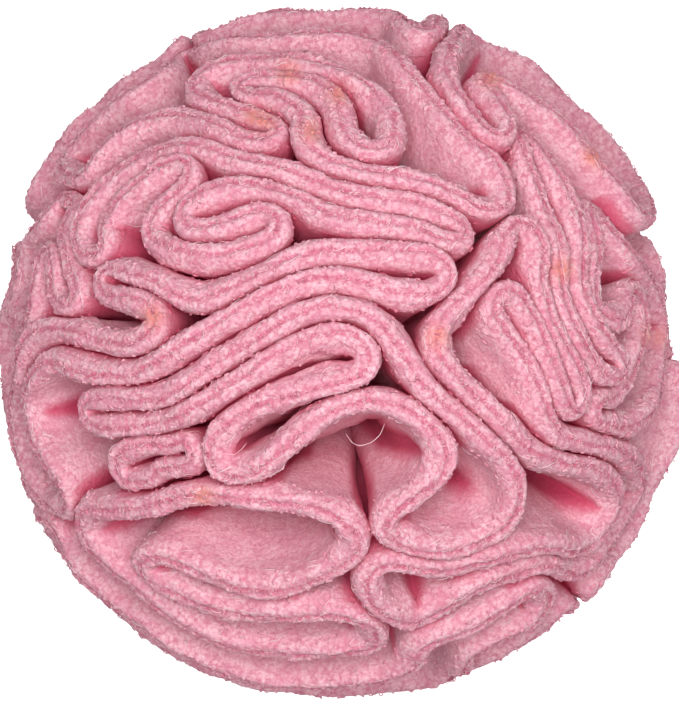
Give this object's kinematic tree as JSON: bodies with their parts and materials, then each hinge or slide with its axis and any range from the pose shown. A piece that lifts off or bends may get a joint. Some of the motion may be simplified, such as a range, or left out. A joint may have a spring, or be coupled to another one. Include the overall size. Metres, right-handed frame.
{
  "type": "plush snuffle ball",
  "caption": "Soft ball of gathered plush fleece discs whose ruffled rims meander over its surface and form folds that hide treats.",
  "frame": {"origin": "middle of the ball's outline, on the plane of its flattened rest patch", "axes": "+Z up from the rest patch through the ball's middle, towards the eye of the picture; +Y is up in the picture and +X is to its right"},
  "size_m": [0.167, 0.1674, 0.1608],
  "materials": {
    "plush_fleece": "pink double-faced plush fleece with a nubby pile, raw cut rims and a darker base line",
    "gathered_fleece": "deep pink fleece, gathered and stitched flat"
  },
  "bodies": {
    "root": {"disc_belt_left": "plush_fleece", "disc_belt_low": "plush_fleece", "disc_belt_lower_right": "plush_fleece", "disc_belt_right": "plush_fleece", "disc_belt_top": "plush_fleece", "disc_belt_upper_left": "plush_fleece", "disc_centre": "plush_fleece", "disc_crown": "plush_fleece", "disc_left_edge": "plush_fleece", "disc_left_strip": "plush_fleece", "disc_lower_rim": "plush_fleece", "disc_petal": "plush_fleece", "disc_pocket": "plush_fleece", "disc_right": "plush_fleece", "disc_right_curl": "plush_fleece", "disc_right_strip": "plush_fleece", "disc_small_fold": "plush_fleece", "disc_spiral": "plush_fleece", "stitched_core": "gathered_fleece", "under_disc_belt_left": "plush_fleece", "under_disc_belt_lower_right": "plush_fleece", "under_disc_belt_top": "plush_fleece", "under_disc_belt_upper_left": "plush_fleece", "under_disc_centre": "plush_fleece", "under_disc_crown": "plush_fleece", "under_disc_left_strip": "plush_fleece", "under_disc_lower_rim": "plush_fleece", "under_disc_petal": "plush_fleece", "under_disc_pocket": "plush_fleece", "under_disc_right": "plush_fleece", "under_disc_right_curl": "plush_fleece", "under_disc_right_strip": "plush_fleece", "under_disc_spiral": "plush_fleece"}
  },
  "joints": []
}
